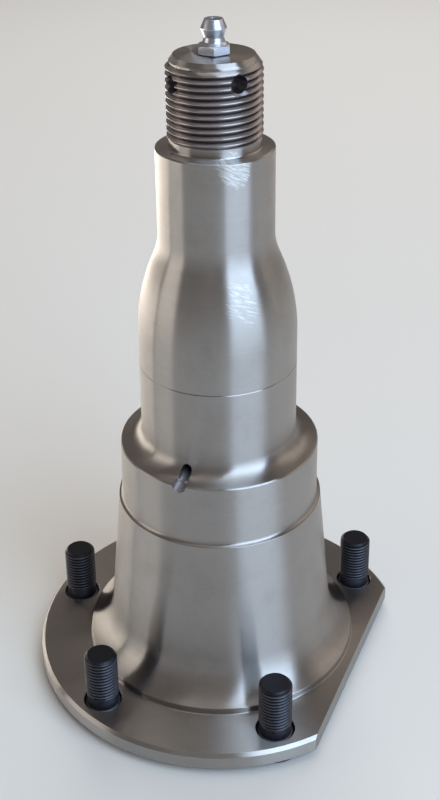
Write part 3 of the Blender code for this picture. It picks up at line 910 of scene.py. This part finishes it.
def turned_steel(name, bright, dull, streak=1.0, groove_dirt_and_shade=None):
    """Medium-carbon steel, turned on a lathe and rubbed bright with emery cloth.

    The tool's fine rings smear each reflection along the spindle, so it shows as upright bands.
    """
    finish, tree, shader = new_material(name)
    lines = lathe_lines(tree, spacing=0.3 * MM, length=25 * MM)
    colour = add(tree, "ShaderNodeMix", {0: lines, 6: linear(dull), 7: linear(bright)},
                 data_type="RGBA").outputs[2]
    colour = add(tree, "ShaderNodeMix", {0: oil_stain(tree), 6: colour, 7: linear("7c726c")},
                 data_type="RGBA").outputs[2]
    if groove_dirt_and_shade:
        # Painted shade, with a little real oil and dirt: the thread's grooves are coloured darker towards
        # their roots.
        dirt_and_shade_share = add(tree, "ShaderNodeMapRange",
                    {0: off_axis(tree), 1: THREAD_RADIUS - THREAD_DEPTH,
                     2: THREAD_RADIUS - 0.4 * THREAD_DEPTH, 3: 1.0, 4: 0.0})
        colour = add(tree, "ShaderNodeMix", {0: dirt_and_shade_share.outputs[0], 6: colour, 7: linear(groove_dirt_and_shade)},
                     data_type="RGBA").outputs[2]
    rough = add(tree, "ShaderNodeMapRange", {0: lines, 1: 0.3, 2: 0.7, 3: 0.33, 4: 0.3}).outputs[0]
    relief = lines
    if not groove_dirt_and_shade:
        # Fresh scratches are brighter than the turned skin and break up its reflections; their blue-white
        # colour is partly a painted glint of the window.
        scratches = emery_scratches(tree)
        fresh_steel_and_glint = add(tree, "ShaderNodeMapRange", {0: scratches, 1: 0.38, 2: 0.6, 3: 0.0, 4: 0.5})
        colour = add(tree, "ShaderNodeMix",
                     {0: fresh_steel_and_glint.outputs[0], 6: colour, 7: linear("eef3f6")}, data_type="RGBA").outputs[2]
        relief = add(tree, "ShaderNodeMath", {0: scratches, 1: 8.0, 2: lines},
                     operation="MULTIPLY_ADD").outputs[0]
    tree.links.new(colour, shader.inputs["Base Color"])
    tree.links.new(rough, shader.inputs["Roughness"])
    tangent = add(tree, "ShaderNodeTangent", direction_type="RADIAL", axis="Z")
    tree.links.new(tangent.outputs[0], shader.inputs["Tangent"])
    bump = add(tree, "ShaderNodeBump", {"Strength": 0.1, "Distance": 0.012 * MM, "Height": relief})
    tree.links.new(bump.outputs[0], shader.inputs["Normal"])
    shader.inputs["Metallic"].default_value = 1.0
    shader.inputs["Anisotropic"].default_value = streak
    shader.inputs["Anisotropic Rotation"].default_value = 0.25
    return finish


def drilled_steel():
    """The same steel inside drilled holes: a little rougher, with fine marks all over the wall."""
    finish, tree, shader = new_material("drilled_steel")
    where = add(tree, "ShaderNodeTexCoord").outputs["Object"]
    marks = add(tree, "ShaderNodeTexNoise", {"Vector": where, "Scale": 1 / (0.5 * MM), "Detail": 2.0})
    colour = add(tree, "ShaderNodeMix", {0: marks.outputs[0], 6: linear("737076"), 7: linear("cac7ce")},
                 data_type="RGBA")
    tree.links.new(colour.outputs[2], shader.inputs["Base Color"])
    bump = add(tree, "ShaderNodeBump",
               {"Strength": 0.2, "Distance": 0.02 * MM, "Height": marks.outputs[0]})
    tree.links.new(bump.outputs[0], shader.inputs["Normal"])
    shader.inputs["Metallic"].default_value = 1.0
    shader.inputs["Roughness"].default_value = 0.38
    return finish


def milled_steel():
    """The same steel where the flat was milled across the flange: dull, with fine upright marks."""
    finish, tree, shader = new_material("milled_steel")
    where = add(tree, "ShaderNodeTexCoord").outputs["Object"]
    drawn = add(tree, "ShaderNodeVectorMath", {0: where, 1: (1 / (8 * MM), 1 / (0.5 * MM), 1 / (6 * MM))},
                operation="MULTIPLY")
    marks = add(tree, "ShaderNodeTexNoise", {"Vector": drawn.outputs[0], "Scale": 1.0, "Detail": 2.0})
    colour = add(tree, "ShaderNodeMix", {0: marks.outputs[0], 6: linear("8a8784"), 7: linear("a8a5a1")},
                 data_type="RGBA")
    tree.links.new(colour.outputs[2], shader.inputs["Base Color"])
    bump = add(tree, "ShaderNodeBump",
               {"Strength": 0.3, "Distance": 0.02 * MM, "Height": marks.outputs[0]})
    tree.links.new(bump.outputs[0], shader.inputs["Normal"])
    shader.inputs["Metallic"].default_value = 1.0
    shader.inputs["Roughness"].default_value = 0.42
    return finish


def black_oxide():
    """Rolled and hardened steel, blackened in hot salts and oiled.

    The film is nearly black with a soft blue sheen, and it rubs greyer on the thread's crests.
    """
    finish, tree, shader = new_material("black_oxide_steel")
    where = add(tree, "ShaderNodeTexCoord").outputs["Object"]
    crest = add(tree, "ShaderNodeMapRange",
                {0: off_axis(tree), 1: STUD_THREAD_RADIUS - 0.35 * MM,
                 2: STUD_THREAD_RADIUS, 3: 0.0, 4: 1.0})
    grain = add(tree, "ShaderNodeTexNoise",
                {"Vector": where, "Scale": 1 / (1.2 * MM), "Detail": 4.0, "Roughness": 0.7})
    worn = add(tree, "ShaderNodeMath", {0: crest.outputs[0], 1: grain.outputs[0]}, operation="MULTIPLY")
    colour = add(tree, "ShaderNodeMix", {0: worn.outputs[0], 6: linear("25262c"), 7: linear("7a7d8a")},
                 data_type="RGBA")
    tree.links.new(colour.outputs[2], shader.inputs["Base Color"])
    rough = add(tree, "ShaderNodeMapRange", {0: grain.outputs[0], 1: 0.3, 2: 0.7, 3: 0.34, 4: 0.5})
    tree.links.new(rough.outputs[0], shader.inputs["Roughness"])
    bump = add(tree, "ShaderNodeBump",
               {"Strength": 0.3, "Distance": 0.02 * MM, "Height": grain.outputs[0]})
    tree.links.new(bump.outputs[0], shader.inputs["Normal"])
    shader.inputs["Metallic"].default_value = 0.7
    return finish


def zinc_plate():
    """Steel with bright blue-passivated zinc: pale and glossy, tinted slightly blue."""
    finish, tree, shader = new_material("zinc_plated_steel")
    where = add(tree, "ShaderNodeTexCoord").outputs["Object"]
    cloud = add(tree, "ShaderNodeTexNoise", {"Vector": where, "Scale": 1 / (2.5 * MM), "Detail": 3.0})
    colour = add(tree, "ShaderNodeMix", {0: cloud.outputs[0], 6: linear("b3bccd"), 7: linear("dde2ea")},
                 data_type="RGBA")
    tree.links.new(colour.outputs[2], shader.inputs["Base Color"])
    rough = add(tree, "ShaderNodeMapRange", {0: cloud.outputs[0], 1: 0.3, 2: 0.7, 3: 0.26, 4: 0.36})
    tree.links.new(rough.outputs[0], shader.inputs["Roughness"])
    shader.inputs["Metallic"].default_value = 1.0
    return finish


def hardened_steel():
    """Bearing steel, hardened and lapped to a near mirror."""
    finish, tree, shader = new_material("hardened_steel")
    where = add(tree, "ShaderNodeTexCoord").outputs["Object"]
    haze = add(tree, "ShaderNodeTexNoise", {"Vector": where, "Scale": 1 / (0.6 * MM), "Detail": 2.0})
    rough = add(tree, "ShaderNodeMapRange", {0: haze.outputs[0], 1: 0.3, 2: 0.7, 3: 0.1, 4: 0.18})
    tree.links.new(rough.outputs[0], shader.inputs["Roughness"])
    shader.inputs["Base Color"].default_value = linear("b9b9bb")
    shader.inputs["Metallic"].default_value = 1.0
    return finish


def make_floor():
    """Plain pale matt floor that the stud heads stand on."""
    finish, _, shader = new_material("pale_floor")
    shader.inputs["Base Color"].default_value = linear("e6e4df")
    shader.inputs["Roughness"].default_value = 1.0
    shader.inputs["Specular IOR Level"].default_value = 0.0
    build = bmesh.new()
    bmesh.ops.create_grid(build, x_segments=1, y_segments=1, size=FLOOR_REACH)
    floor = put_mesh("floor", build)
    floor.location = (0, 0, solid_box[0][2])
    floor.data.materials.append(finish)


def soft_light(name, degrees, distance, height, width, tall, watts, colour):
    """Softbox that stands round the axis, given from the camera's direction, and faces the spindle."""
    lamp = bpy.data.lights.new(name, "AREA")
    lamp.shape = "RECTANGLE"
    lamp.size = width
    lamp.size_y = tall
    lamp.energy = watts
    lamp.color = linear(colour)[:3]
    holder = put_in_scene(name, lamp)
    holder.location = direction(CAMERA_DIRECTION + degrees) * distance + Vector((0, 0, height))
    aim = Vector((0, 0, LIGHT_AIM_HEIGHT)) - holder.location
    holder.rotation_euler = aim.to_track_quat("-Z", "Y").to_euler()
    holder.visible_camera = False
    holder.visible_diffuse = name not in SEEN_IN_GLOSS_ONLY
    holder.visible_glossy = name not in NOT_SEEN_IN_GLOSS


def light_studio():
    """A cool window to the right, a cream glow low on the left, and soft light from behind and above."""
    for name, softbox in SOFTBOXES.items():
        soft_light(name, *softbox)
    world = bpy.data.worlds.new("room")
    bpy.context.scene.world = world
    world.use_nodes = True
    background = world.node_tree.nodes["Background"]
    background.inputs["Color"].default_value = linear("ded2cb")
    background.inputs["Strength"].default_value = 0.28


def make_camera():
    lens = bpy.data.cameras.new("camera")
    lens.sensor_fit = "AUTO"
    lens.sensor_width = CAMERA_SENSOR
    lens.lens = CAMERA_LENS
    lens.shift_y = CAMERA_SHIFT_Y
    lens.clip_start = 0.01
    lens.clip_end = 20.0
    camera = put_in_scene("camera", lens)
    place = direction(CAMERA_DIRECTION) * CAMERA_DISTANCE + Vector((0, 0, CAMERA_HEIGHT))
    heading = CAMERA_DIRECTION + 180 - CAMERA_YAW
    turn = (Matrix.Rotation(math.radians(heading - 90), 4, "Z")
            @ Matrix.Rotation(math.radians(90 - CAMERA_PITCH), 4, "X")
            @ Matrix.Rotation(math.radians(CAMERA_ROLL), 4, "Z"))
    camera.matrix_world = Matrix.Translation(place) @ turn
    bpy.context.scene.camera = camera


def main():
    bpy.context.scene.view_settings.view_transform = "Standard"
    make_spindle([turned_steel("turned_steel", bright="b1afad", dull="a9a6a4"),
                  # The threaded steel's grooves get a darker colour: painted shade, with some real oil
                  # and dirt.
                  turned_steel("threaded_steel", bright="bdb7b8", dull="a19a9b", streak=0.6,
                               groove_dirt_and_shade="4a4446"),
                  milled_steel(),
                  drilled_steel()])
    make_studs(black_oxide())
    make_nipple(zinc_plate())
    steel = hardened_steel()
    make_ball(steel)
    make_spring(steel)
    make_floor()
    light_studio()
    make_camera()


main()
